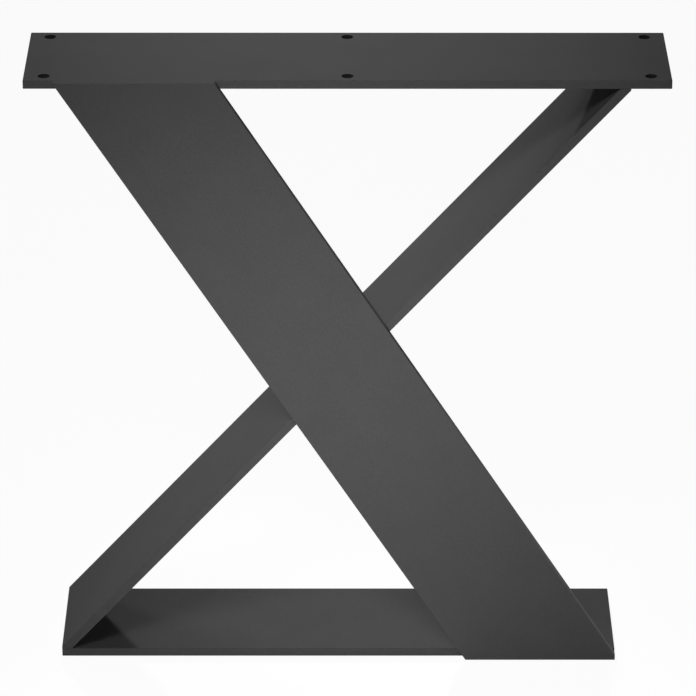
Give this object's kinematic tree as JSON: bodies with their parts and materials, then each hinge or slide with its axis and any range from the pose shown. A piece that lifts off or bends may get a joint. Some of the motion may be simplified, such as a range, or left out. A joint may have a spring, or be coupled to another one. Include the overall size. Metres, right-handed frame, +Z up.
{
  "type": "x shaped table leg",
  "caption": "Table leg frame of flat steel bars welded into an X between a long drilled top plate and a shorter foot plate, powder coated dark grey.",
  "frame": {"origin": "on the floor, below the middle of the top plate, half way across the depth of the plates", "axes": "+Z up, from the floor to the table top; +X along the plates, towards the end where the rear diagonal meets the top plate; +Y across the plates, away from the face that carries the wide front diagonal"},
  "size_m": [0.715, 0.16, 0.72],
  "materials": {
    "powder_coat": "matt dark grey powder coat with a fine orange peel, over steel bars and their welds"
  },
  "bodies": {
    "root": {"top_plate": "powder_coat", "foot_plate": "powder_coat", "front_diagonal": "powder_coat", "rear_diagonal": "powder_coat", "weld_top_seam": "powder_coat", "weld_front_to_top": "powder_coat", "weld_front_to_foot": "powder_coat", "weld_rear_to_top_inner": "powder_coat", "weld_rear_to_top_outer": "powder_coat", "weld_rear_to_foot": "powder_coat", "weld_crossing_upper": "powder_coat", "weld_crossing_lower": "powder_coat"}
  },
  "joints": []
}
